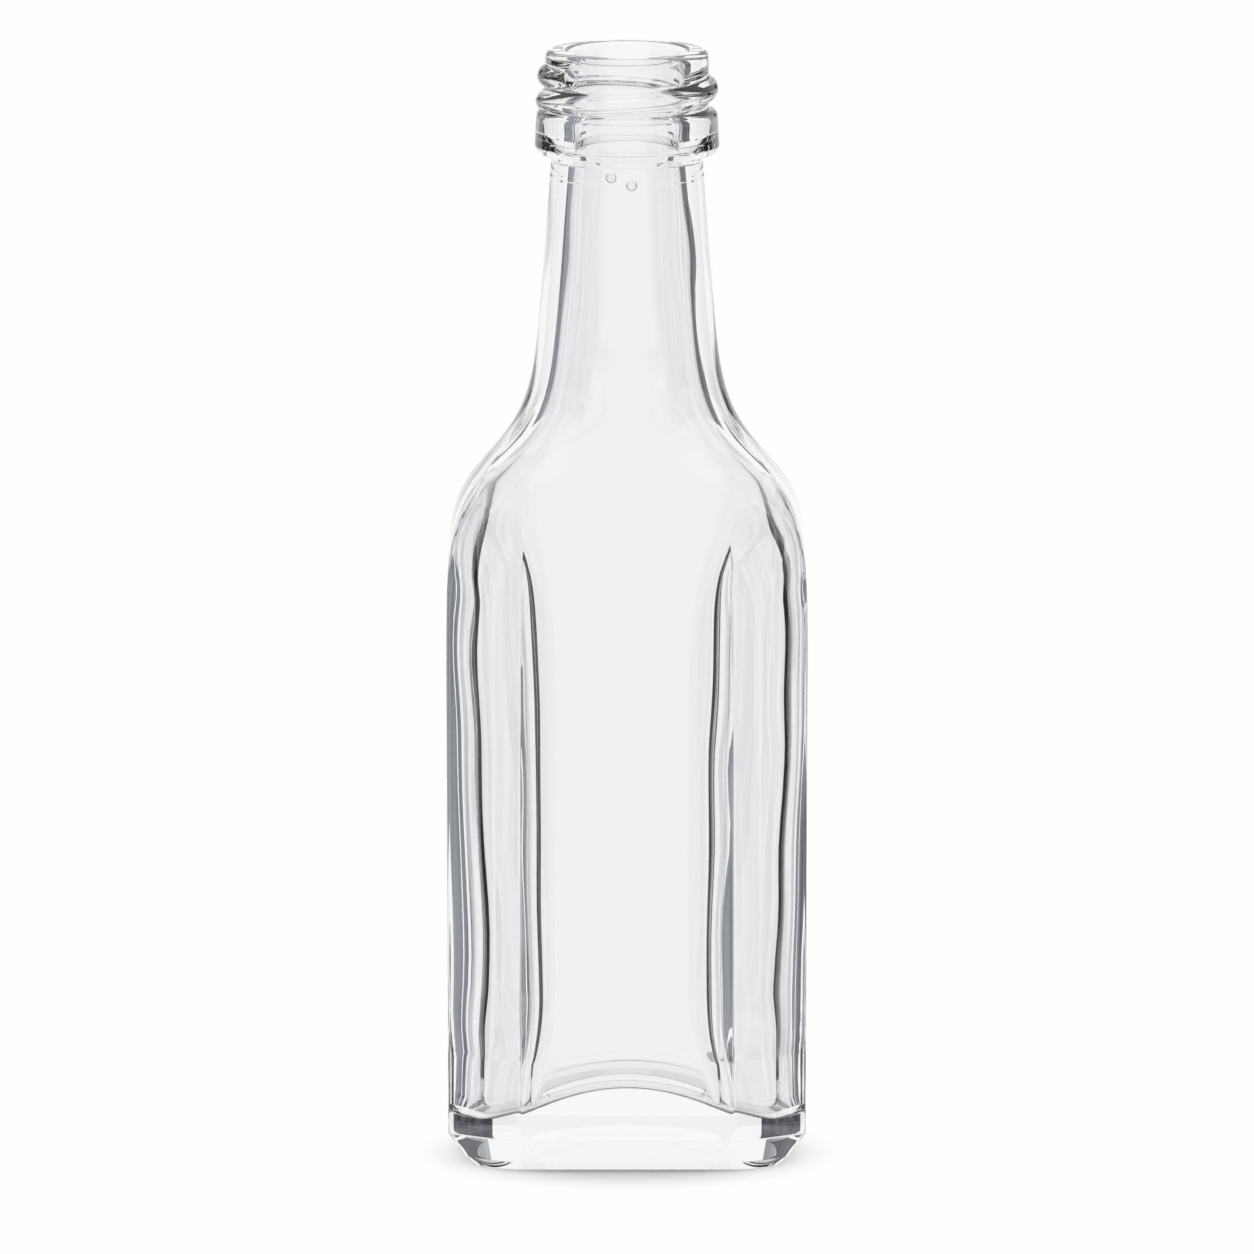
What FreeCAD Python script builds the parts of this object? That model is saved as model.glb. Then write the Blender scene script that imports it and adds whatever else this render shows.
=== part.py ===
import FreeCAD, Part
import math
import os

import Sketcher

# A small empty screw-neck spirit bottle of flint glass, in millimetres.
# The bevelled body stands on its foot ring at Z = 0 with the front panel
# facing -Y; the shoulder runs up into a round neck with a screw finish on top.

SIZES = {
    # body: flat panels and sides joined by wide, soft-edged bevels
    "body_width": 35.9,
    "body_depth": 29.0,
    "panel_flat": 21.1,
    "side_flat": 16.0,
    "bevel_fullness": 1.16,
    "body_draft": 0.2,
    # foot: a sloping heel band under the body, then a rounded foot ring
    "heel_height": 3.2,
    "heel_inset": 1.7,
    "foot_edge_height": 0.85,
    "foot_ring_inset": 2.9,
    "foot_ring_fullness": 1.6,
    "pushup_width": 17.0,
    "pushup_depth": 13.0,
    "pushup_rise": 0.9,
    # shoulder and neck
    "shoulder_foot": 52.0,
    "shoulder_height": 70.2,
    "shoulder_spread": 5.4,
    "bevel_top": 65.0,
    "shoulder_fullness": 1.9,
    "neck_top_height": 99.9,
    "neck_top_radius": 7.55,
    "neck_flare": 0.072,
    # cavity: a room of soft corners over a floor that is domed across; its
    # sides thicken downward, and its flats widen toward the shoulder
    "side_wall": 1.95,
    "side_taper": 0.95,
    "taper_height": 45.0,
    "panel_wall": 3.6,
    "room_panel_flat": 14.0,
    "room_side_flat": 4.0,
    "room_top_panel_flat": 20.0,
    "room_top_side_flat": 9.6,
    "room_fullness": 1.27,
    "room_growth_height": 15.5,
    "room_drop": 1.35,
    "floor_height": 5.0,
    "floor_round": 1.6,
    "floor_dome_rise": 3.2,
    "floor_dome_width": 26.0,
    "bore_radius": 5.2,
    "bore_flare": 0.085,
    "mouth_radius": 6.0,
    # screw finish: collar bead, threaded wall and lip
    "total_height": 110.9,
    "lip_radius": 8.15,
    "lip_round": 0.75,
    "bead_radius": 9.2,
    "bead_shoulder_radius": 9.0,
    "bead_bottom_height": 100.7,
    "bead_underside_slope": 0.48,
    "bead_top_height": 104.9,
    "thread_pitch": 2.5,
    "thread_radius": 9.1,
    "thread_turns": 1.55,
    "thread_start_height": 108.3,
    "thread_start_angle": 200,
    "thread_half_base": 1.05,
    "thread_half_crest": 0.3,
    "thread_fade_turns": 0.12,
}

EDGE_STEPS = 6         # spans along each edge of a plan outline
RISE_STEP = 3.6        # spacing of the outlines up the shoulder and neck
THREAD_STEPS = 40      # thread sections per turn


def make_sheet(doc):
    """Put every driving size in a spreadsheet, one aliased cell each."""
    sheet = doc.addObject("Spreadsheet::Sheet", "sizes")
    for row, (alias, value) in enumerate(SIZES.items(), start=1):
        sheet.set(f"A{row}", alias)
        sheet.set(f"B{row}", str(value))
        sheet.setAlias(f"B{row}", alias)
    doc.recompute()
    return sheet


# ---- plan outlines -------------------------------------------------------

def plan_edges(half_width, half_depth, panel_flat, side_flat, fullness):
    """The eight edges of a plan as lists of points, anticlockwise from the +X side.

    Between the half panel flat and the half side flat each corner is a
    superellipse: a fullness of one is a straight bevel, two is a round corner.
    """
    shares = [step / EDGE_STEPS for step in range(EDGE_STEPS + 1)]

    def corner(share):
        across = abs(math.cos(0.5 * math.pi * share)) ** (2.0 / fullness)
        along = abs(math.sin(0.5 * math.pi * share)) ** (2.0 / fullness)
        return (panel_flat + (half_width - panel_flat) * across,
                side_flat + (half_depth - side_flat) * along)

    side = [(half_width, side_flat * (2.0 * share - 1.0)) for share in shares]
    bevel = [corner(share) for share in shares]
    panel = [(panel_flat * (1.0 - 2.0 * share), half_depth) for share in shares]
    far_bevel = [(-across, along) for across, along in reversed(bevel)]
    half = [side, bevel, panel, far_bevel]
    return half + [[(-across, -along) for across, along in edge] for edge in half]


def shoulder_blend(height, middle, spread):
    """One in the body, nought in the neck, changing smoothly at the shoulder."""
    return 0.5 * (1.0 - math.tanh((height - middle) / spread))


def outline(edges, height, round_radius=0.0, blend=1.0):
    """A closed wire at one height: the plan, drawn in towards a circle as blend falls."""
    curves = []
    for edge in edges:
        points = []
        for across, along in edge:
            reach = math.hypot(across, along)
            scale = (round_radius + blend * (reach - round_radius)) / reach
            points.append(FreeCAD.Vector(scale * across, scale * along, height))
        curve = Part.BSplineCurve()
        curve.interpolate(points)
        curves.append(curve.toShape())
    return Part.Wire(curves)


def heights_between(low, high):
    """Evenly spaced heights, about RISE_STEP apart, ends included."""
    count = max(1, round((high - low) / RISE_STEP))
    return [low + (high - low) * step / count for step in range(count + 1)]


def ease(value, start, end):
    """Nought up to the start, one from the end on, and a smooth step between."""
    share = min(max((value - start) / (end - start), 0.0), 1.0)
    return share * share * (3.0 - 2.0 * share)


# ---- glass body ----------------------------------------------------------

def make_skin(doc, sheet):
    """The outside of foot, heel, body, shoulder and neck as one closed solid."""
    def plan(inset=0.0, fullness=sheet.bevel_fullness):
        return plan_edges(sheet.body_width / 2 - inset, sheet.body_depth / 2 - inset,
                          sheet.panel_flat / 2, sheet.side_flat / 2, fullness)

    def flank(height):
        """The body and, above it, the shoulder and neck."""
        neck = sheet.neck_top_radius + (sheet.neck_top_height - height) * sheet.neck_flare
        fuller = ease(height, sheet.shoulder_foot, sheet.bevel_top + 12.0)
        fullness = sheet.bevel_fullness + fuller * (sheet.shoulder_fullness - sheet.bevel_fullness)
        return outline(plan(0.0, fullness), height, neck,
                       shoulder_blend(height, sheet.shoulder_height, sheet.shoulder_spread))

    lower = Part.makeLoft([
        outline(plan(sheet.foot_ring_inset, sheet.foot_ring_fullness), 0.0),
        outline(plan(sheet.heel_inset), sheet.foot_edge_height),
        outline(plan(sheet.body_draft), sheet.heel_height),
        flank(sheet.shoulder_foot),
    ], True, True)
    rises = heights_between(sheet.shoulder_foot, sheet.neck_top_height + 0.5)
    upper = Part.makeLoft([flank(rise) for rise in rises], True, False)
    skin = doc.addObject("Part::Feature", "glass_skin")
    skin.Shape = lower.fuse(upper)
    return skin


def make_cavity(doc, sheet):
    """The space inside: a soft-cornered room that narrows into the neck bore."""
    def room(height, inset=0.0):
        taper = min(max((sheet.bevel_top - height) / sheet.taper_height, 0.0), 1.0)
        side = sheet.side_wall + sheet.side_taper * taper
        growth = 1.0 - (sheet.bevel_top - 1.0 - height) / sheet.room_growth_height
        growth = min(max(growth, 0.0), 1.0) ** 3
        panel_flat = sheet.room_panel_flat + growth * (
            sheet.room_top_panel_flat - sheet.room_panel_flat)
        side_flat = sheet.room_side_flat + growth * (
            sheet.room_top_side_flat - sheet.room_side_flat)
        fuller = ease(height, sheet.shoulder_foot, sheet.bevel_top + 12.0)
        return plan_edges(sheet.body_width / 2 - side - inset,
                          sheet.body_depth / 2 - sheet.panel_wall - inset,
                          panel_flat / 2, side_flat / 2,
                          sheet.room_fullness + fuller * (
                              sheet.shoulder_fullness - sheet.room_fullness))

    def floor_round(lift):
        """One step up the quarter-round where the wall meets the floor."""
        return outline(room(sheet.floor_height, sheet.floor_round * (1.0 - math.sin(lift))),
                       sheet.floor_height + sheet.floor_round * (1.0 - math.cos(lift)))

    def wall(height):
        bore = sheet.bore_radius + (sheet.neck_top_height - height) * sheet.bore_flare
        middle = sheet.shoulder_height - sheet.room_drop
        return outline(room(height), height, bore,
                       shoulder_blend(height, middle, sheet.shoulder_spread))

    lifts = [math.radians(degrees) for degrees in (0, 30, 60, 90)]
    room_top = sheet.bevel_top - sheet.room_growth_height
    lower = Part.makeLoft([floor_round(lift) for lift in lifts]
                          + [wall(sheet.bevel_top - sheet.taper_height), wall(room_top)],
                          True, True)
    rises = heights_between(room_top, sheet.neck_top_height)
    upper = Part.makeLoft([wall(rise) for rise in rises], True, False)
    cavity = doc.addObject("Part::Feature", "cavity")
    cavity.Shape = lower.fuse(upper)
    return cavity


def make_floor_dome(doc):
    """A wide round bar across the bottle whose top is the dome of the floor."""
    radius = ("((sizes.floor_dome_width / 2) ^ 2 + sizes.floor_dome_rise ^ 2)"
              " / (2 * sizes.floor_dome_rise)")
    dome = doc.addObject("Part::Cylinder", "floor_dome")
    dome.setExpression("Radius", radius)
    dome.setExpression("Height", "sizes.body_depth")
    dome.Placement = FreeCAD.Placement(FreeCAD.Vector(), FreeCAD.Rotation(FreeCAD.Vector(1, 0, 0), 90))
    dome.setExpression("Placement.Base.y", "sizes.body_depth / 2")
    dome.setExpression("Placement.Base.z",
                       f"sizes.floor_height + sizes.floor_dome_rise - {radius}")
    return dome


def make_pushup(doc):
    """The shallow hollow under the foot."""
    pushup = doc.addObject("Part::Ellipsoid", "pushup")
    pushup.setExpression("Radius1", "sizes.pushup_rise")
    pushup.setExpression("Radius2", "sizes.pushup_width / 2")
    pushup.setExpression("Radius3", "sizes.pushup_depth / 2")
    return pushup


# ---- screw finish --------------------------------------------------------

def make_finish(doc):
    """Collar bead, threaded wall and lip turned from one bound profile."""
    body = doc.addObject("PartDesign::Body", "finish")
    profile = body.newObject("Sketcher::SketchObject", "finish_profile")
    upright = next(plane for plane in body.Origin.OriginFeatures if plane.Role == "XZ_Plane")
    profile.AttachmentSupport = (upright, [""])
    profile.MapMode = "FlatFace"
    core_radius = "sizes.bore_radius - 0.5"
    underside = ("sizes.bead_bottom_height"
                 " - sizes.bead_underside_slope * (sizes.bead_radius - sizes.bore_radius + 0.5)")
    corners = [
        (core_radius, underside),
        ("sizes.bead_radius", "sizes.bead_bottom_height"),
        ("sizes.bead_shoulder_radius", "sizes.bead_top_height"),
        ("sizes.lip_radius", "sizes.bead_top_height"),
        ("sizes.lip_radius", "sizes.total_height"),
        (core_radius, "sizes.total_height"),
    ]
    bind_polygon(doc, profile, corners)
    turned = body.newObject("PartDesign::Revolution", "turned_finish")
    turned.Profile = profile
    turned.ReferenceAxis = (profile, ["V_Axis"])
    turned.Angle = 360.0
    profile.Visibility = False
    doc.recompute()
    rounded = body.newObject("PartDesign::Fillet", "rounded_lip_and_bead")
    rounded.Base = (turned, rim_edges(turned.Shape, doc.sizes))
    rounded.setExpression("Radius", "sizes.lip_round")
    doc.recompute()
    return body


def bind_polygon(doc, sketch, corners):
    """Draw a closed polygon and bind both coordinates of every corner to the sheet."""
    places = [[doc.sizes.evalExpression(text.replace("sizes.", "")) for text in corner]
              for corner in corners]
    vectors = [FreeCAD.Vector(float(across), float(up), 0) for across, up in places]
    count = len(vectors)
    for index in range(count):
        sketch.addGeometry(Part.LineSegment(vectors[index], vectors[(index + 1) % count]), False)
    for index in range(count):
        sketch.addConstraint(Sketcher.Constraint("Coincident", index, 2, (index + 1) % count, 1))
    for index, (across, up) in enumerate(corners):
        for kind, text, value in (("DistanceX", across, vectors[index].x),
                                  ("DistanceY", up, vectors[index].y)):
            number = sketch.addConstraint(Sketcher.Constraint(kind, -1, 1, index, 1, value))
            sketch.setExpression(f"Constraints[{number}]", text)


def rim_edges(shape, sheet):
    """Names of the round edges at the top of the lip and of the bead."""
    rims = ((sheet.lip_radius, sheet.total_height),
            (sheet.bead_shoulder_radius, sheet.bead_top_height))
    names = []
    for number, edge in enumerate(shape.Edges, start=1):
        box = edge.BoundBox
        for radius, height in rims:
            level = max(abs(box.ZMax - height), abs(box.ZMin - height))
            if level < 0.01 and abs(box.XMax - radius) < 0.01:
                names.append(f"Edge{number}")
    return names


def make_mouth(doc):
    """The mouth of the neck, opening upwards from the bore below it."""
    mouth = doc.addObject("Part::Cone", "mouth")
    mouth.setExpression("Radius1", "sizes.bore_radius")
    mouth.setExpression("Radius2", "sizes.mouth_radius")
    mouth.setExpression("Height", "sizes.total_height - sizes.neck_top_height + 0.2")
    mouth.setExpression("Placement.Base.z", "sizes.neck_top_height - 0.1")
    return mouth


def make_thread(doc, sheet):
    """A right-hand thread ridge that swells from the wall and fades into the bead."""
    count = round(THREAD_STEPS * sheet.thread_turns)
    root = sheet.lip_radius - 0.4
    sections = []
    for step in range(count + 1):
        turn = sheet.thread_turns * step / count
        fade = min(1.0, turn / sheet.thread_fade_turns,
                   (sheet.thread_turns - turn) / sheet.thread_fade_turns)
        crest = root + 0.2 + (sheet.thread_radius - root - 0.2) * math.sin(0.5 * math.pi * fade)
        angle = math.radians(sheet.thread_start_angle - 360.0 * turn)
        height = sheet.thread_start_height - sheet.thread_pitch * turn
        corners = ((root, -sheet.thread_half_base), (crest, -sheet.thread_half_crest),
                   (crest, sheet.thread_half_crest), (root, sheet.thread_half_base))
        points = [FreeCAD.Vector(radius * math.cos(angle), radius * math.sin(angle), height + up)
                  for radius, up in corners]
        sections.append(Part.makePolygon(points + points[:1]))
    thread = doc.addObject("Part::Feature", "thread")
    thread.Shape = Part.makeLoft(sections, True, False)
    return thread


# ---- assembly ------------------------------------------------------------

def combine(doc, kind, name, base, tool):
    """A bound boolean of two objects."""
    result = doc.addObject(kind, name)
    result.Base = base
    result.Tool = tool
    return result


def check(doc):
    """Stop unless every object is sound."""
    doc.recompute()
    for thing in doc.Objects:
        if "Invalid" in thing.State or "Error" in thing.State:
            raise RuntimeError(f"{thing.Name} failed: {thing.State}")


def main():
    doc = FreeCAD.newDocument("spirit_bottle")
    sheet = make_sheet(doc)
    threaded = combine(doc, "Part::Fuse", "threaded_finish", make_finish(doc), make_thread(doc, sheet))
    outside = combine(doc, "Part::Fuse", "outside", make_skin(doc, sheet), threaded)
    footed = combine(doc, "Part::Cut", "footed_outside", outside, make_pushup(doc))
    room = combine(doc, "Part::Cut", "room", make_cavity(doc, sheet), make_floor_dome(doc))
    inside = combine(doc, "Part::Fuse", "inside", room, make_mouth(doc))
    bottle = combine(doc, "Part::Cut", "bottle", footed, inside)
    bottle.Label = "bottle"
    check(doc)
    shape = bottle.Shape
    if shape.isNull() or not shape.isValid() or len(shape.Solids) != 1:
        raise RuntimeError("the bottle isn't one sound solid")
    os.makedirs("parts", exist_ok=True)
    shape.exportStep(f"parts/{bottle.Label}.step")
    print(f"glass {shape.Volume / 1000:.2f} ml, room {inside.Shape.Volume / 1000:.1f} ml")


main()
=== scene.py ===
import math

import bmesh
import bpy
import numpy as np
from bpy.props import FloatProperty, PointerProperty, StringProperty
from mathutils import Matrix, Vector


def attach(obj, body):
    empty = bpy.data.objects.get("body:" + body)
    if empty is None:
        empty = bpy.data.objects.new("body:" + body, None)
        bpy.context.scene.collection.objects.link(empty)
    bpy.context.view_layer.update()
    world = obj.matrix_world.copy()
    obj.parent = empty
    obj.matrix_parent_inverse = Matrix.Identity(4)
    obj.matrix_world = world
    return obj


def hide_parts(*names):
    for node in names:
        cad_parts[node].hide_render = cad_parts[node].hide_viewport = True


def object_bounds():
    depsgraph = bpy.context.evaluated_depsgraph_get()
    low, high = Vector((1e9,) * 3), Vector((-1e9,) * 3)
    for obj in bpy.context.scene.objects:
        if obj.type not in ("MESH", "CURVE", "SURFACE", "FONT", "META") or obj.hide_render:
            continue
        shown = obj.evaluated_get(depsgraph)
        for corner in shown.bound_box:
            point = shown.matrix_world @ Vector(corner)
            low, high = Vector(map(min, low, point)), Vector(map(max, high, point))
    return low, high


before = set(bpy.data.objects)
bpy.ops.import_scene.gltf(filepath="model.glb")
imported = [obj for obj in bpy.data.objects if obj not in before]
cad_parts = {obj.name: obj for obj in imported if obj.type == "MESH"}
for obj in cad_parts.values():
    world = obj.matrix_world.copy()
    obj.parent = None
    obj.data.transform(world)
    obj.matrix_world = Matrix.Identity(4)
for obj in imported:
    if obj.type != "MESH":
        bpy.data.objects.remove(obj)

CAD_BOX = [list(corner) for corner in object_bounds()]

bl_info = {
    "name": "Clear Spirit Bottle",
    "version": (1, 0, 0),
    "blender": (4, 5, 0),
    "location": "3D View > Sidebar > Bottle",
    "description": "A small bevelled bottle of clear glass with a screw neck, in a plain studio",
    "category": "Object",
}

MM = 0.001


def length(name, millimetres, description):
    """A length property, stored in metres."""
    return FloatProperty(name=name, description=description, default=millimetres * MM,
                         unit="LENGTH", precision=4)


def plain(name, value, description):
    """A bare number property."""
    return FloatProperty(name=name, description=description, default=value, precision=4)


class BottleBody(bpy.types.PropertyGroup):
    """Outside of the body, shoulder and neck."""
    width: FloatProperty(name="Width", description="Across the body, side to side",
                         default=CAD_BOX[1][0] - CAD_BOX[0][0], unit="LENGTH")
    depth: FloatProperty(name="Depth", description="Through the body, panel to panel",
                         default=CAD_BOX[1][1] - CAD_BOX[0][1], unit="LENGTH")
    height: FloatProperty(name="Height", description="From the table to the lip",
                          default=CAD_BOX[1][2] - CAD_BOX[0][2], unit="LENGTH")
    panel_flat: length("Panel Flat", 21.1, "Width of the flat front and back panels")
    side_flat: length("Side Flat", 16.0, "Width of the flat sides")
    fullness: plain("Bevel Fullness", 1.16, "One is a straight bevel, two a round corner")
    draft: length("Draft", 0.2, "How much narrower each side is at the heel")
    draft_height: length("Draft Height", 52.0, "Height at which the body reaches its full width")
    heel_height: length("Heel Height", 3.2, "Height of the crease above the heel band")
    heel_inset: length("Heel Inset", 1.7, "How far the heel band draws in")
    heel_soft: length("Heel Softness", 0.3, "Radius along the heel's edges")
    foot_edge: length("Foot Edge", 0.85, "Height of the edge below the heel band")
    foot_inset: length("Foot Inset", 2.9, "How far the foot ring lies inside the body")
    foot_ring: length("Foot Ring", 1.7, "Width of the flat ring that the bottle stands on")
    foot_fullness: plain("Foot Fullness", 1.6, "Corner fullness of the foot ring")
    pushup_width: length("Push-up Width", 17.0, "Width of the hollow under the foot")
    pushup_depth: length("Push-up Depth", 13.0, "Depth of the hollow, front to back")
    pushup_rise: length("Push-up Rise", 0.9, "Height of the hollow under the foot")
    shoulder_height: length("Shoulder Height", 70.2, "Height of the middle of the shoulder")
    shoulder_spread: length("Shoulder Spread", 5.4, "How gently the shoulder turns")
    neck_height: length("Neck Height", 99.9, "Top of the neck, under the bead")
    neck_radius: length("Neck Radius", 7.55, "Radius of the neck at its top")
    neck_flare: plain("Neck Flare", 0.072, "Growth of the neck's radius per length down")
    seam_height: length("Seam Height", 98.3, "Height of the fine seam round the neck")
    seam_size: length("Seam Size", 0.03, "How far that seam stands out")
    seam_width: length("Seam Width", 0.15, "Height over which the seam falls away")
    bevel_top: length("Bevel Top", 65.0, "Height at which the bevels give way to a round shoulder")
    bevel_fade: length("Bevel Fade", 13.0, "Height over which they do so, mostly below that")
    shoulder_fullness: plain("Shoulder Fullness", 1.9, "Corner fullness in the shoulder")


class BottleRoom(bpy.types.PropertyGroup):
    """Inside of the bottle."""
    side_wall: length("Side Wall", 1.95, "Glass at the middle of a side, at its top")
    side_taper: length("Side Taper", 0.95, "How much thicker the side is at the floor")
    taper_height: length("Taper Height", 45.0, "Height over which the side thickens")
    panel_wall: length("Panel Wall", 3.6, "Glass at the middle of a panel")
    panel_flat: length("Panel Flat", 14.0, "Width of the flat inside a panel")
    skew: plain("Skew", 0.107, "How much narrower that flat is to the right than to the left")
    side_flat: length("Side Flat", 4.0, "Width of the flat inside a side")
    fullness: plain("Corner Fullness", 1.27, "One is a straight bevel, two a round corner")
    shoulder_flat: length("Shoulder Flat", 21.0, "Width of the flat inside a panel at its top")
    shoulder_side_flat: length("Shoulder Side Flat", 10.2, "Width of the flat inside a side at its top")
    flat_growth: length("Flat Growth", 17.0, "Height over which the inner flats widen")
    foot_growth: length("Foot Growth", 8.0, "Height over which they widen toward the floor")
    foot_start: length("Foot Start", 9.4, "Height below which they are at their widest")
    foot_thinning: length("Foot Thinning", 0.35, "How much thinner the side is below that height")
    shoulder_drop: length("Shoulder Drop", 1.35, "How much lower the shoulder turns inside")
    floor_height: length("Floor Height", 4.5, "Lowest point of the floor")
    floor_round: length("Floor Round", 0.5, "Radius between a panel and the floor")
    side_round: length("Side Round", 0.7, "How much more that radius is at the sides")
    dome_rise: length("Dome Rise", 3.7, "Rise of the floor's dome")
    dome_width: length("Dome Width", 26.0, "Width of the floor's dome")
    dome_power: plain("Dome Power", 1.3, "Shape of the dome; more is more pointed")
    bore_radius: length("Bore Radius", 5.2, "Radius of the bore at the top of the neck")
    bore_flare: plain("Bore Flare", 0.085, "Growth of the bore's radius per length down")
    mouth_radius: length("Mouth Radius", 6.0, "Radius of the mouth inside the lip")


class BottleFinish(bpy.types.PropertyGroup):
    """Screw finish on the neck."""
    lip_radius: length("Lip Radius", 8.15, "Outside radius of the lip and threaded wall")
    lip_round: length("Lip Round", 0.8, "Rounding of the lip's outer edge")
    mouth_round: length("Mouth Round", 0.6, "Rounding of the lip's inner edge")
    bead_radius: length("Bead Radius", 9.2, "Radius at the bottom of the collar bead")
    bead_shoulder: length("Bead Shoulder", 9.0, "Radius at the top of the collar bead")
    bead_bottom: length("Bead Bottom", 100.7, "Height of the bead's lower edge")
    bead_top: length("Bead Top", 104.9, "Height of the bead's upper edge")
    bead_round: length("Bead Round", 0.81, "Rounding of the bead's upper edge")
    bead_chamfer: length("Bead Chamfer", 0.5, "Width of the chamfer on the bead's lower edge")
    pitch: length("Thread Pitch", 2.5, "Drop of the thread in one turn")
    ridge: length("Thread Ridge", 0.95, "How far the thread stands out of the wall")
    ridge_half: length("Ridge Half Width", 1.25, "Half the width of the thread at its root")
    ridge_power: plain("Ridge Power", 0.8, "Half is a round ridge, one a pointed one")
    turns: plain("Thread Turns", 1.65, "Length of the thread in turns")
    fade_turns: plain("Fade Turns", 0.24, "Length over which the thread swells and fades")
    start_height: length("Thread Start Height", 108.6, "Height at which the thread starts")
    start_angle: FloatProperty(name="Thread Start Angle", description="Bearing of the thread's start",
                               default=math.radians(232), unit="ROTATION")


class BottleGlass(bpy.types.PropertyGroup):
    """Clear container glass, with two small bubbles in the neck."""
    bubble_size: length("Bubble Size", 1.05, "Across each bubble in the neck's wall")
    bubble_flatness: plain("Bubble Flatness", 0.25, "Thickness of a bubble over its size")
    # The glass's tint is greyer than clear glass: partly its own colour, and partly painted shade that
    # stands in for the darker surroundings on the camera's side that it would reflect
    hue: StringProperty(name="Colour", description="sRGB hex of light through the glass",
                        default="F7F8F9")
    ior: plain("IOR", 1.52, "Refraction of soda-lime glass")


class StudioSettings(bpy.types.PropertyGroup):
    """Floor, cards, light and camera."""
    backdrop_hue: StringProperty(name="Backdrop", description="sRGB hex of the floor and backdrop",
                                 default="FEFEFE")
    # Tones of the cards that are seen only in the glass: painted reflections, which draw its dark lines
    painted_grey_reflection_hue: StringProperty(name="Grey Cards", description="sRGB hex of the cards on the table",
                             default="7A7D82")
    painted_dark_reflection_hue: StringProperty(name="Dark Cards", description="sRGB hex of the darkest cards",
                             default="4A4D52")
    painted_pale_reflection_hue: StringProperty(name="Pale Cards", description="sRGB hex of the palest cards",
                             default="9EA1A4")
    # The shadow is real shading of the paper, but a white glow covers it from Shadow Core to Shadow
    # Edge, so its reach is painted
    shadow_core: length("Shadow Core", 13.0, "Reach of the full shadow, front and back")
    shadow_edge: length("Shadow Edge", 27.5, "Reach at which it has gone, front and back")
    # Painted light: how far the shaded floor glows white where it is seen through the glass
    painted_glow_through_glass: plain("Floor Through Glass", 0.8, "How white the shaded floor is through glass")
    dome_low: plain("Dome at the Horizon", 0.62, "Strength of the sky's light at the horizon")
    dome_high: plain("Dome Overhead", 0.97, "Strength of the sky's light overhead")
    lamp_power: FloatProperty(name="Lamp Power", description="Power of the softbox overhead",
                              default=0.8, unit="POWER")
    lamp_size: FloatProperty(name="Lamp Size", description="Width of the softbox overhead",
                             default=0.8, unit="LENGTH")
    camera_distance: FloatProperty(name="Camera Distance", description="From the bottle",
                                   default=6.0, unit="LENGTH")
    camera_rise: FloatProperty(name="Camera Rise", description="Angle above level",
                               default=math.radians(7.9), unit="ROTATION")
    aim_height: length("Aim Height", 52.9, "Height of the point that the camera looks at")
    view_width: length("View Width", 124.8, "Width of the view at the bottle")


# ---- colours and nodes ----------------------------------------------------

def linear(hex_colour):
    """sRGB hex to a linear colour with full alpha."""
    channels = [int(hex_colour[start:start + 2], 16) / 255.0 for start in (0, 2, 4)]
    return [value / 12.92 if value <= 0.04045 else ((value + 0.055) / 1.055) ** 2.4
            for value in channels] + [1.0]


def add(tree, kind, inputs=None, **settings):
    """Add one node and set its named values; inputs holds sockets to link, or numbers."""
    node = tree.nodes.new(kind)
    for name, value in settings.items():
        if hasattr(node, name):
            setattr(node, name, value)
        else:
            node.inputs[name.replace("_", " ")].default_value = value
    for name, source in (inputs or {}).items():
        if isinstance(source, bpy.types.NodeSocket):
            tree.links.new(source, node.inputs[name])
        else:
            node.inputs[name].default_value = source
    return node


def new_material(name):
    """An empty node material and its output node."""
    material = bpy.data.materials.new(name)
    material.use_nodes = True
    material.node_tree.nodes.clear()
    return material, material.node_tree.nodes.new("ShaderNodeOutputMaterial")


# ---- shape functions ------------------------------------------------------

# points in each ring of the bottle
COLUMNS = 216


def plan_reach(angles, half_width, half_depth, panel_half, side_half, fullness):
    """Distance from the axis to a plan of flats and superelliptic corners.

    Beyond its flats a corner satisfies ((x - panel_half) / (half_width -
    panel_half)) ** fullness + ((y - side_half) / (half_depth - side_half)) **
    fullness = 1. The distance is found by Newton steps from the box around the
    plan, which only ever come inward. All arguments may be grids.
    """
    across, along = np.abs(np.cos(angles)), np.abs(np.sin(angles))
    width, depth = half_width - panel_half, half_depth - side_half
    reach = np.minimum(half_width / np.maximum(across, 1e-9), half_depth / np.maximum(along, 1e-9))
    for _ in range(24):
        first = np.maximum((reach * across - panel_half) / width, 1e-12)
        second = np.maximum((reach * along - side_half) / depth, 1e-12)
        excess = first ** fullness + second ** fullness - 1.0
        slope = fullness * (first ** (fullness - 1.0) * across / width
                            + second ** (fullness - 1.0) * along / depth)
        reach = reach - np.maximum(excess, 0.0) / slope
    return reach


def spread_angles(plans, count):
    """Bearings that crowd together where the plans curve.

    Each plan is walked in small steps; a step counts its length plus what it
    turns through, and the bearings are equal shares of the count of all plans.
    """
    fine = np.linspace(0.0, 0.5 * np.pi, 4001)
    total = np.zeros(fine.size)
    for reach_of in plans:
        reach = reach_of(fine)
        points = np.stack([reach * np.cos(fine), reach * np.sin(fine)], axis=1)
        steps = np.diff(points, axis=0)
        turn = np.abs(np.gradient(np.unwrap(np.arctan2(steps[:, 1], steps[:, 0]))))
        share = np.linalg.norm(steps, axis=1) / points.max() + 0.8 * turn
        total[1:] += np.cumsum(share)
    quarter = np.interp(np.linspace(0.0, total[-1], count // 4 + 1)[:-1], total, fine)
    half = np.concatenate([quarter, np.pi - np.concatenate([[0.5 * np.pi], quarter[:0:-1]])])
    return np.concatenate([half, half + np.pi])


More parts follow.
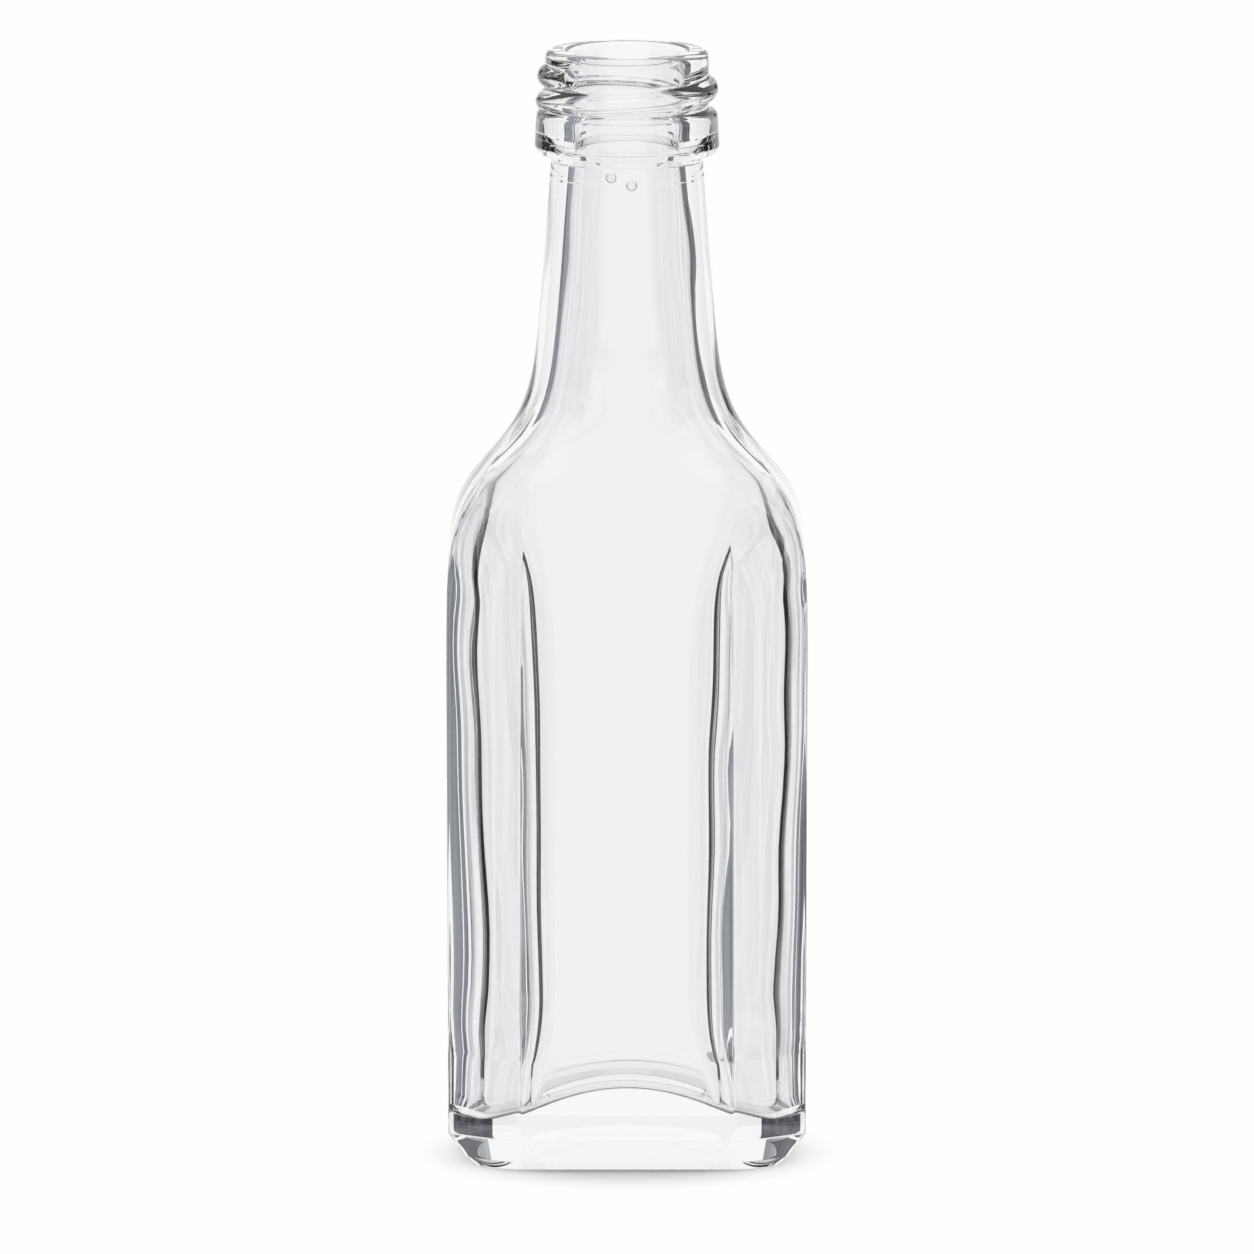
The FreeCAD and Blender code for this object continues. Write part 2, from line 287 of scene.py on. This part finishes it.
def rounded_path(corners, radii, steps=7):
    """A polyline with its inner corners replaced by arcs.

    Each arc is tangent to both of its sides: it starts radius * tan(turn / 2)
    before the corner, and its points turn evenly from one side to the other.
    """
    corners = np.asarray(corners, dtype=float)
    pieces = [corners[:1]]
    for before, corner, after, radius in zip(corners[:-2], corners[1:-1], corners[2:], radii):
        ahead = (corner - before) / np.linalg.norm(corner - before)
        onward = (after - corner) / np.linalg.norm(after - corner)
        side = ahead[0] * onward[1] - ahead[1] * onward[0]
        turn = math.atan2(side, float(ahead @ onward))
        start = corner - ahead * radius * math.tan(abs(turn) / 2)
        normal = np.array([-ahead[1], ahead[0]]) * math.copysign(1.0, turn)
        centre = start + normal * radius
        swing = np.linspace(0.0, turn, steps + 1)[:, None]
        spoke = start - centre
        crossed = np.array([-spoke[1], spoke[0]])
        pieces.append(centre + spoke * np.cos(swing) + crossed * np.sin(swing))
    pieces.append(corners[-1:])
    return np.concatenate(pieces)


def resample(path, spacing):
    """More points along the straight runs of a path, none further apart than spacing."""
    runs = []
    for start, end in zip(path[:-1], path[1:]):
        count = max(1, math.ceil(np.linalg.norm(end - start) / spacing))
        runs.append(start + (end - start) * np.linspace(0.0, 1.0, count + 1)[:-1, None])
    return np.concatenate(runs + [path[-1:]])


def height_column(*runs):
    """Heights as one column; each run is a start and an end in millimetres, and a count."""
    return np.concatenate([np.linspace(*run) for run in runs])[:, None] * MM


def ease(value, start, end):
    """Smooth step: nought before the start, one after the end, 3 t ** 2 - 2 t ** 3 between."""
    share = np.clip((value - start) / (end - start), 0.0, 1.0)
    return share * share * (3.0 - 2.0 * share)


def shoulder_blend(height, middle, spread):
    """One in the body and nought in the neck: (1 - tanh((height - middle) / spread)) / 2."""
    return 0.5 * (1.0 - np.tanh((height - middle) / spread))


def thread_swell(angles, heights, finish):
    """How far the thread stands out at each bearing and height.

    The thread's centre falls by one pitch per turn, going clockwise from above.
    Across it the ridge is (1 - (distance / half width) ** 2) ** power, and its
    ends swell and fade as a sine, by all of its height and two fifths of its width.
    """
    start = np.mod(finish.start_angle - angles, 2.0 * np.pi) / (2.0 * np.pi)
    swell = np.zeros(np.broadcast(angles, heights).shape)
    for lap in range(math.ceil(finish.turns) + 1):
        turn = start + lap
        fade = np.clip(np.minimum(turn, finish.turns - turn) / finish.fade_turns, 0.0, 1.0)
        fade = np.sin(0.5 * np.pi * fade)
        centre = finish.start_height - finish.pitch * turn
        width = finish.ridge_half * (0.6 + 0.4 * fade)
        across = np.clip(1.0 - ((heights - centre) / width) ** 2, 0.0, 1.0)
        swell = np.maximum(swell, finish.ridge * fade * across ** finish.ridge_power)
    return swell


def outer_surface(body, finish, angles):
    """Rings of the outside from the middle of the foot up to the lip, as (reach, height) grids.

    Under the foot the rings shrink evenly to the middle, with a bowl of rise *
    (1 - distance ** 2) ** 1.5. The heel follows the plan, drawn in by a profile.
    Above it a ring's reach is neck + blend * (plan - neck): all plan in the body,
    all round in the neck. The finish is a turned profile, or the thread where
    that stands out further.
    """
    half_width, half_depth = body.width / 2, body.depth / 2

    def plan(inset, fullness):
        return plan_reach(angles, half_width - inset, half_depth - inset,
                          body.panel_flat / 2, body.side_flat / 2, fullness)

    # heel profile as (inset, height): foot ring, edge, heel band, crease, start of the panels
    heel_top = 6.5 * MM
    heel = rounded_path([(body.foot_inset + body.foot_ring, 0.0), (body.foot_inset, 0.0),
                         (body.heel_inset + body.draft, body.foot_edge),
                         (body.draft, body.heel_height), (0.9 * body.draft, heel_top)],
                        [1.6 * body.heel_soft, body.heel_soft, body.heel_soft])
    heel = resample(heel, 0.4 * MM)
    # the foot ring's own plan is rounder than the heel band's
    roundness = np.clip(1.0 - heel[:, 1:] / body.foot_edge, 0.0, 1.0)
    heel_reach = plan(heel[:, :1], body.fullness + (body.foot_fullness - body.fullness) * roundness)
    heel_height = np.repeat(heel[:, 1:], angles.size, axis=1)
    # underside: from the middle out to the foot ring, with the push-up's bowl
    shares = np.linspace(0.0, 1.0, 25)[:-1, None]
    under_reach = shares * heel_reach[:1]
    bowl = np.hypot(under_reach * np.cos(angles) / (body.pushup_width / 2),
                    under_reach * np.sin(angles) / (body.pushup_depth / 2))
    under_height = body.pushup_rise * np.clip(1.0 - bowl ** 2, 0.0, 1.0) ** 1.5
    # flank: body, shoulder and neck
    rise = height_column((9.0, 50.0, 12), (51.0, 56.5, 8), (57.0, 66.0, 28), (66.7, 90.0, 34),
                         (91.5, 97.5, 5), (97.9, 98.7, 9))
    blend = shoulder_blend(rise, body.shoulder_height, body.shoulder_spread)
    neck = body.neck_radius + (body.neck_height - rise) * body.neck_flare
    neck = neck + body.seam_size * np.exp(-((rise - body.seam_height) / body.seam_width) ** 2)
    inset = body.draft * np.clip(1.0 - rise / body.draft_height, 0.0, 1.0)
    fade_end = body.bevel_top + 5.0 * MM
    fullness = body.fullness + (body.shoulder_fullness - body.fullness) * ease(
        rise, fade_end - body.bevel_fade, fade_end)
    flank_reach = neck + blend * (plan(inset, fullness) - neck)
    flank_height = np.repeat(rise, angles.size, axis=1)
    # finish: bead, threaded wall and lip, as (radius, height); the bead's ends slant a little
    top = body.height
    slant = 0.15 * MM
    profile = rounded_path([
        (body.neck_radius + 0.05 * MM, body.neck_height - 0.7 * MM),
        (body.neck_radius, body.neck_height),
        (finish.bead_radius - finish.bead_chamfer, finish.bead_bottom - slant),
        (finish.bead_radius, finish.bead_bottom + finish.bead_chamfer),
        (finish.bead_shoulder, finish.bead_top),
        (finish.lip_radius, finish.bead_top + slant), (finish.lip_radius, top),
        (finish.lip_radius - 1.2 * MM, top)],
        [0.35 * MM, 0.4 * MM, 0.5 * MM, finish.bead_round, 0.25 * MM, finish.lip_round])
    profile = resample(profile, 0.18 * MM)
    swell = thread_swell(angles, profile[:, 1:], finish)
    wall = (profile[:, 1:] > finish.bead_bottom) & (profile[:, 1:] < top - finish.lip_round)
    finish_reach = np.maximum(profile[:, :1], np.where(wall, finish.lip_radius + swell, 0.0))
    finish_height = np.repeat(profile[:, 1:], angles.size, axis=1)
    return (np.concatenate([under_reach, heel_reach, flank_reach, finish_reach]),
            np.concatenate([under_height, heel_height, flank_height, finish_height]))


def inner_surface(body, room, finish, angles):
    """Rings of the inside from the lip down to the middle of the floor, as (reach, height) grids.

    The mouth is a turned profile. Below it a ring's reach is bore + blend * (plan
    - bore), with the waves of a blown inside added. An arc leads round to the
    floor: from a quarter turn down to nought its inset is bend * (1 - sin) and
    its lift bend * (1 - cos). On the floor the rings shrink evenly to the middle.
    """

    def plan(inset, height):
        """The inside's plan at a height, drawn in by an inset.

        Its flats widen as 5 s ** 4 - 4 s ** 5 toward the shoulder, and half as far,
        as s ** 2.5, toward the floor. In the shoulder its corners turn round.
        """
        share = np.clip(1.0 - (body.bevel_top + 0.5 * MM - height) / room.flat_growth, 0.0, 1.0)
        growth = share ** 4 * (5.0 - 4.0 * share)
        lower = np.clip(1.0 - (height - room.foot_start) / room.foot_growth, 0.0, 1.0) ** 2.5
        growth = np.maximum(growth, 0.5 * lower)
        narrow = room.panel_flat * (1.0 - room.skew * np.cos(angles))
        round_off = ease(height, body.bevel_top - 6.0 * MM, body.bevel_top + 9.0 * MM)
        thick = room.side_wall + room.side_taper * np.clip(
            (body.bevel_top - height) / room.taper_height, 0.0, 1.0) - room.foot_thinning * lower
        return plan_reach(
            angles, body.width / 2 - thick - inset, body.depth / 2 - room.panel_wall - inset,
            (narrow + (room.shoulder_flat - narrow) * growth) / 2,
            (room.side_flat + (room.shoulder_side_flat - room.side_flat) * growth) / 2,
            room.fullness + (body.shoulder_fullness - room.fullness) * round_off)

    top = body.height
    mouth_bottom = body.neck_height + 1.1 * MM
    mouth = rounded_path([(finish.lip_radius - 1.3 * MM, top), (room.mouth_radius, top),
                          (room.bore_radius + 0.1 * MM, mouth_bottom)], [finish.mouth_round])
    mouth = resample(mouth, 0.6 * MM)
    mouth_reach = np.repeat(mouth[:, :1], angles.size, axis=1)
    mouth_height = np.repeat(mouth[:, 1:], angles.size, axis=1)
    drop = height_column((99.9, 91.0, 8), (90.0, 66.5, 34), (66.0, 42.0, 49), (40.0, 18.0, 9),
                         (17.0, 10.5, 14))
    blend = shoulder_blend(drop, body.shoulder_height - room.shoulder_drop, body.shoulder_spread)
    bore = room.bore_radius + (body.neck_height - drop) * room.bore_flare
    wall_reach = bore + blend * (plan(0.0, drop) - bore)
    # the waves settle just above the floor and in the top of the neck
    settle = ease(drop, 10.0 * MM, 14.0 * MM) * (1.0 - ease(drop, 92.0 * MM, 99.0 * MM))
    wall_reach += blown_waves(angles, drop) * settle
    wall_height = np.repeat(drop, angles.size, axis=1)

    def floor_height(reach):
        """The floor: a dome across the bottle, rise * (1 - (x / half width) ** 2) ** power."""
        share = np.clip(1.0 - (reach * np.cos(angles) / (room.dome_width / 2)) ** 2, 0.0, 1.0)
        return room.floor_height + room.dome_rise * share ** room.dome_power

    swings = np.linspace(0.5 * np.pi, 0.0, 15)[:, None]
    bend = room.floor_round + room.side_round * np.cos(angles) ** 2
    round_reach = plan(bend * (1.0 - np.sin(swings)), room.foot_start)
    round_height = floor_height(round_reach) + bend * (1.0 - np.cos(swings))
    shares = np.linspace(1.0, 0.0, 25)[1:, None]
    floor_reach = shares * round_reach[-1:]
    return (np.concatenate([mouth_reach, wall_reach, round_reach, floor_reach]),
            np.concatenate([mouth_height, wall_height, round_height, floor_height(floor_reach)]))


def blown_waves(angles, heights):
    """The slight unevenness of a blown inside: a sum of sines round the wall times sines down it."""
    waves = np.zeros(np.broadcast(angles, heights).shape)
    random = np.random.default_rng(7)
    for turns, wave_length, size in ((1, 47.0, 0.06), (2, 31.0, 0.05), (3, 23.0, 0.035),
                                     (5, 17.0, 0.02), (7, 29.0, 0.015), (9, 13.0, 0.01)):
        shift, drift = random.uniform(0.0, 2.0 * np.pi, 2)
        waves += size * MM * (np.cos(turns * angles + shift)
                              * np.sin(2.0 * np.pi * heights / (wave_length * MM) + drift))
    return waves


def closed_shell(name, reach, height, angles):
    """A mesh through rings of points at (reach * cos a, reach * sin a, height).

    The first and last rings stand for single poles. Quads join each ring to the
    next, and triangles join the outermost two to the poles.
    """
    rings, columns = reach.shape
    grid = np.stack([reach * np.cos(angles), reach * np.sin(angles),
                     np.broadcast_to(height, reach.shape)], axis=2)[1:-1].reshape(-1, 3)
    first, last = len(grid), len(grid) + 1
    points = np.concatenate([grid, [[0.0, 0.0, height[0].mean()], [0.0, 0.0, height[-1].mean()]]])
    row = np.arange(rings - 3)[:, None] * columns
    column = np.arange(columns)[None]
    onward = (column + 1) % columns
    quads = np.stack([row + column, row + onward, row + columns + onward,
                      row + columns + column], axis=2).reshape(-1, 4)
    near, far = np.arange(columns), (rings - 3) * columns + np.arange(columns)
    caps = np.concatenate([np.stack([np.full(columns, first), np.roll(near, -1), near], axis=1),
                           np.stack([np.full(columns, last), far, np.roll(far, -1)], axis=1)])
    mesh = bpy.data.meshes.new(name)
    mesh.from_pydata(points.tolist(), [], quads.tolist() + caps.tolist())
    mesh.polygons.foreach_set("use_smooth", np.ones(len(mesh.polygons), dtype=bool))
    mesh.validate()
    mesh.update()
    piece = bpy.data.objects.new(name, mesh)
    bpy.context.collection.objects.link(piece)
    return piece


# ---- materials ------------------------------------------------------------

def flint_glass(settings):
    """Flint container glass, fire-polished: clear and neutral, with sharp reflections."""
    material, output = new_material("flint_glass")
    tree = material.node_tree
    # Base colour: the glass's tint, partly its own colour and partly painted shade that greys the body
    shader = add(tree, "ShaderNodeBsdfPrincipled", Base_Color=linear(settings.hue),
                 Transmission_Weight=1.0, IOR=settings.ior, Roughness=0.0)
    tree.links.new(shader.outputs["BSDF"], output.inputs["Surface"])
    return material


def looked_at(tree):
    """A socket that is one for rays that look, direct or by way of glass, and nought for light."""
    seen = add(tree, "ShaderNodeLightPath")
    looks = add(tree, "ShaderNodeMath", {0: seen.outputs["Is Camera Ray"],
                                         1: seen.outputs["Is Transmission Ray"]},
                operation="MAXIMUM")
    looks = add(tree, "ShaderNodeMath", {0: looks.outputs[0], 1: seen.outputs["Is Glossy Ray"]},
                operation="MAXIMUM")
    unlit = add(tree, "ShaderNodeMath", {0: seen.outputs["Diffuse Depth"], 1: 0.5},
                operation="LESS_THAN")
    return add(tree, "ShaderNodeMath", {0: looks.outputs[0], 1: unlit.outputs[0]},
               operation="MULTIPLY").outputs[0]


def paper_sweep(studio):
    """Matt white paper sweep: takes the bottle's soft shadow, and is plain white further out.

    The shadow is real shading of the paper, but a white glow covers it over an oval, so its reach
    is painted; seen through the glass the glow lightens it too, painted light in place of the
    light that the glass sends down into it.
    """
    material, output = new_material("white_paper_sweep")
    tree = material.node_tree
    paper = add(tree, "ShaderNodeBsdfDiffuse", Color=linear(studio.backdrop_hue))
    glow = add(tree, "ShaderNodeEmission", Color=linear(studio.backdrop_hue), Strength=1.0)
    place = add(tree, "ShaderNodeTexCoord")
    oval = add(tree, "ShaderNodeMapping", {"Vector": place.outputs["Object"]}, Scale=(1.25, 1.0, 1.0))
    far = add(tree, "ShaderNodeVectorMath", {0: oval.outputs["Vector"]}, operation="LENGTH")
    # painted: over this oval a white glow covers the paper's real shadow
    fade = add(tree, "ShaderNodeMapRange", {"Value": far.outputs["Value"]},
               interpolation_type="SMOOTHSTEP", From_Min=studio.shadow_core,
               From_Max=studio.shadow_edge)
    seen = add(tree, "ShaderNodeLightPath")
    # painted light: seen through the glass, the shaded floor glows white by this share
    through = add(tree, "ShaderNodeMapRange", {"Value": seen.outputs["Is Transmission Ray"]},
                  To_Max=studio.painted_glow_through_glass)
    painted_glow_share = add(tree, "ShaderNodeMath", {0: fade.outputs["Result"], 1: through.outputs["Result"]},
              operation="MAXIMUM")
    share = add(tree, "ShaderNodeMath", {0: painted_glow_share.outputs[0], 1: looked_at(tree)},
                operation="MULTIPLY")
    mix = add(tree, "ShaderNodeMixShader", {0: share.outputs[0], 1: paper.outputs["BSDF"],
                                            2: glow.outputs["Emission"]})
    tree.links.new(mix.outputs["Shader"], output.inputs["Surface"])
    return material


def painted_reflection_card(name, hue, patch):
    """A card material that glows at a set tone and takes no light: a painted reflection, which draws
    soft dark lines in clear glass.

    Its tone is a little cloudy, in upright patches about as wide as the given size.
    """
    material, output = new_material(name)
    tree = material.node_tree
    place = add(tree, "ShaderNodeTexCoord")
    tall = add(tree, "ShaderNodeMapping", {"Vector": place.outputs["Object"]},
               Scale=(1.0, 1.0, 0.35))
    cloud = add(tree, "ShaderNodeTexNoise", {"Vector": tall.outputs["Vector"]},
                Scale=1.0 / patch, Detail=2.0)
    tone = add(tree, "ShaderNodeMapRange", {"Value": cloud.outputs["Fac"]},
               From_Min=0.35, From_Max=0.65, To_Min=0.55, To_Max=1.5)
    # painted reflection: the card glows at this tone instead of being lit
    shader = add(tree, "ShaderNodeEmission", {"Strength": tone.outputs["Result"]},
                 Color=linear(hue))
    tree.links.new(shader.outputs["Emission"], output.inputs["Surface"])
    return material


# ---- operators ------------------------------------------------------------

class BOTTLE_OT_glass(bpy.types.Operator):
    """Build the glass bottle as one closed shell, outside and inside."""
    bl_idname = "bottle.glass"
    bl_label = "Build Glass"

    def execute(self, context):
        scene = context.scene
        body, room, finish = scene.bottle_body, scene.bottle_room, scene.bottle_finish
        angles = spread_angles((
            lambda bearing: plan_reach(bearing, body.width / 2, body.depth / 2,
                                       body.panel_flat / 2, body.side_flat / 2, body.fullness),
            lambda bearing: plan_reach(bearing, body.width / 2 - room.side_wall,
                                       body.depth / 2 - room.panel_wall, room.panel_flat / 2,
                                       room.side_flat / 2, room.fullness)), COLUMNS)
        outer_reach, outer_height = outer_surface(body, finish, angles)
        inner_reach, inner_height = inner_surface(body, room, finish, angles)
        piece = closed_shell("glass_bottle", np.concatenate([outer_reach, inner_reach]),
                             np.concatenate([outer_height, inner_height]), angles)
        piece.data.materials.append(flint_glass(scene.bottle_glass))
        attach(piece, "root")
        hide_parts("bottle")
        return {"FINISHED"}


# places of the two bubbles, in millimetres
BUBBLES = ((-1.55, -6.9, 98.9), (0.45, -6.9, 98.1))


class BOTTLE_OT_bubbles(bpy.types.Operator):
    """Set two small flat bubbles in the front of the neck's wall."""
    bl_idname = "bottle.bubbles"
    bl_label = "Add Bubbles"

    def execute(self, context):
        """Each is a hollow (sin t cos a, flatness sin t sin a, cos t), its faces toward its air."""
        glass = context.scene.bottle_glass
        angles = np.linspace(0.0, 2.0 * np.pi, 33)[:-1]
        falls = np.linspace(0.0, np.pi, 17)[:, None]
        radius = glass.bubble_size / 2
        bottle = bpy.data.objects["glass_bottle"]
        merged = bmesh.new()
        merged.from_mesh(bottle.data)
        for place in BUBBLES:
            bubble = closed_shell("bubble", radius * np.sin(falls) * np.ones_like(angles),
                                  radius * np.cos(falls) * np.ones_like(angles), angles)
            bubble.data.transform(Matrix.Diagonal((1.0, glass.bubble_flatness, 1.0, 1.0)))
            bubble.data.transform(Matrix.Translation(Vector(place) * MM))
            merged.from_mesh(bubble.data)
            bpy.data.objects.remove(bubble)
        merged.to_mesh(bottle.data)
        merged.free()
        return {"FINISHED"}


class BOTTLE_OT_studio(bpy.types.Operator):
    """Set the floor, cards, light, world and camera."""
    bl_idname = "bottle.studio"
    bl_label = "Build Studio"

    def execute(self, context):
        scene = context.scene
        studio = scene.bottle_studio
        self.add_floor(studio)
        self.add_cards(studio)
        self.add_light(studio)
        self.add_world(scene, studio)
        self.add_camera(scene, studio)
        scene.view_settings.view_transform = "Standard"
        return {"FINISHED"}

    def add_floor(self, studio):
        """A wide level sheet that the bottle stands on."""
        half = 3.0
        mesh = bpy.data.meshes.new("floor")
        mesh.from_pydata([(-half, -half, 0), (half, -half, 0), (half, half, 0), (-half, half, 0)],
                         [], [(0, 1, 2, 3)])
        floor = bpy.data.objects.new("floor", mesh)
        bpy.context.collection.objects.link(floor)
        mesh.materials.append(paper_sweep(studio))

    def add_cards(self, studio):
        """Cards around the table, which clear glass bends into its edges; seen only in the glass, they
        are painted reflections that draw its dark lines.

        The near ones lie on the table and stand up at their far ends, alike in all
        four quarters. The others hang further off, dark above pale, to both sides of
        a bright window behind the bottle. Bearings are degrees from its middle.
        """
        near = ((0.045, 0.0003), (0.13, 0.0003), (0.13, 0.11))
        upper = ((0.6, 0.128), (0.6, 0.16), (0.6, 0.2))
        lower = ((0.6, 0.085), (0.6, 0.105), (0.6, 0.128))
        grey = painted_reflection_card("painted_reflection_grey_card", studio.painted_grey_reflection_hue, 0.04)
        dark = painted_reflection_card("painted_reflection_black_card", studio.painted_dark_reflection_hue, 0.008)
        pale = painted_reflection_card("painted_reflection_pale_card", studio.painted_pale_reflection_hue, 0.04)
        cards = []
        for turn, side in ((0, 1), (180, -1), (180, 1), (360, -1)):
            for start, end, material in ((50, 71.5, grey), (73, 78, grey), (81, 85, dark)):
                cards.append((turn + side * start, turn + side * end, near, material))
        for profile, material in ((upper, dark), (lower, pale)):
            cards += [(22, 32, profile, material), (328, 338, profile, material)]
        for index, card in enumerate(cards):
            self.add_card(f"card_{index}", *card)

    def add_card(self, name, start, end, profile, material):
        """One card: a profile of (distance, height) swept from one bearing to the other."""
        spans = 8
        bearings = np.radians(np.linspace(min(start, end), max(start, end), spans + 1) + 90)
        reach, height = np.array(profile).T[:, :, None]
        points = np.stack([reach * np.cos(bearings), reach * np.sin(bearings),
                           height + 0.0 * bearings], axis=2).reshape(-1, 3)
        row = np.arange(len(profile) - 1)[:, None] * (spans + 1)
        first = (row + np.arange(spans)).ravel()
        faces = np.stack([first, first + 1, first + spans + 2, first + spans + 1], axis=1)
        mesh = bpy.data.meshes.new(name)
        mesh.from_pydata(points.tolist(), [], faces.tolist())
        mesh.materials.append(material)
        card = bpy.data.objects.new(name, mesh)
        bpy.context.collection.objects.link(card)
        # Hidden from the camera, the light and shadows: seen only in the glass, as a painted reflection
        card.visible_camera = False
        card.visible_diffuse = False
        card.visible_shadow = False

    def add_light(self, studio):
        """One softbox overhead and a little to the front."""
        lamp = bpy.data.lights.new("overhead_softbox", "AREA")
        lamp.energy = studio.lamp_power
        lamp.size = studio.lamp_size
        holder = bpy.data.objects.new("overhead_softbox", lamp)
        holder.location = (0.0, -0.1, 0.9)
        aim = Vector((0.0, 0.0, 0.05)) - holder.location
        holder.rotation_euler = aim.to_track_quat("-Z", "Y").to_euler()
        bpy.context.collection.objects.link(holder)

    def add_world(self, scene, studio):
        """White where it is looked at, and for the light a pale dome that is brighter overhead."""
        world = bpy.data.worlds.new("studio_air")
        world.use_nodes = True
        tree = world.node_tree
        tree.nodes.clear()
        output = tree.nodes.new("ShaderNodeOutputWorld")
        way = add(tree, "ShaderNodeTexCoord")
        parts = add(tree, "ShaderNodeSeparateXYZ", {0: way.outputs["Generated"]})
        level = add(tree, "ShaderNodeMapRange", {"Value": parts.outputs["Z"]},
                    From_Min=0.0, From_Max=1.0, To_Min=studio.dome_low, To_Max=studio.dome_high)
        fill = add(tree, "ShaderNodeBackground", {"Strength": level.outputs["Result"]},
                   Color=linear("FFFFFF"))
        white = add(tree, "ShaderNodeBackground", Color=linear(studio.backdrop_hue), Strength=1.0)
        mix = add(tree, "ShaderNodeMixShader", {0: looked_at(tree), 1: fill.outputs["Background"],
                                                2: white.outputs["Background"]})
        tree.links.new(mix.outputs["Shader"], output.inputs["Surface"])
        scene.world = world

    def add_camera(self, scene, studio):
        """A long lens in front, a little above level."""
        lens = bpy.data.cameras.new("camera")
        lens.sensor_width = 36.0
        lens.lens = 36.0 * studio.camera_distance / studio.view_width
        lens.clip_end = 100.0
        camera = bpy.data.objects.new("camera", lens)
        camera.location = (0.0, -studio.camera_distance * math.cos(studio.camera_rise),
                           studio.aim_height + studio.camera_distance * math.sin(studio.camera_rise))
        camera.rotation_euler = (0.5 * math.pi - studio.camera_rise, 0.0, 0.0)
        bpy.context.collection.objects.link(camera)
        scene.camera = camera


class BOTTLE_PT_panel(bpy.types.Panel):
    """Sidebar panel for the bottle."""
    bl_idname = "BOTTLE_PT_panel"
    bl_label = "Spirit Bottle"
    bl_space_type = "VIEW_3D"
    bl_region_type = "UI"
    bl_category = "Bottle"

    def draw(self, context):
        for operator in OPERATORS:
            self.layout.operator(operator.bl_idname)
        for group in GROUPS:
            box = self.layout.box()
            box.label(text=group)
            settings = getattr(context.scene, group)
            for name in settings.__annotations__:
                box.prop(settings, name)


OPERATORS = (BOTTLE_OT_glass, BOTTLE_OT_bubbles, BOTTLE_OT_studio)
GROUPS = {"bottle_body": BottleBody, "bottle_room": BottleRoom, "bottle_finish": BottleFinish,
          "bottle_glass": BottleGlass, "bottle_studio": StudioSettings}
CLASSES = tuple(GROUPS.values()) + OPERATORS + (BOTTLE_PT_panel,)


def register():
    for item in CLASSES:
        bpy.utils.register_class(item)
    for name, group in GROUPS.items():
        setattr(bpy.types.Scene, name, PointerProperty(type=group))


def unregister():
    for name in GROUPS:
        delattr(bpy.types.Scene, name)
    for item in reversed(CLASSES):
        bpy.utils.unregister_class(item)


def main():
    """Build everything in order."""
    register()
    bpy.ops.bottle.glass()
    bpy.ops.bottle.bubbles()
    bpy.ops.bottle.studio()


if __name__ == "__main__":
    main()
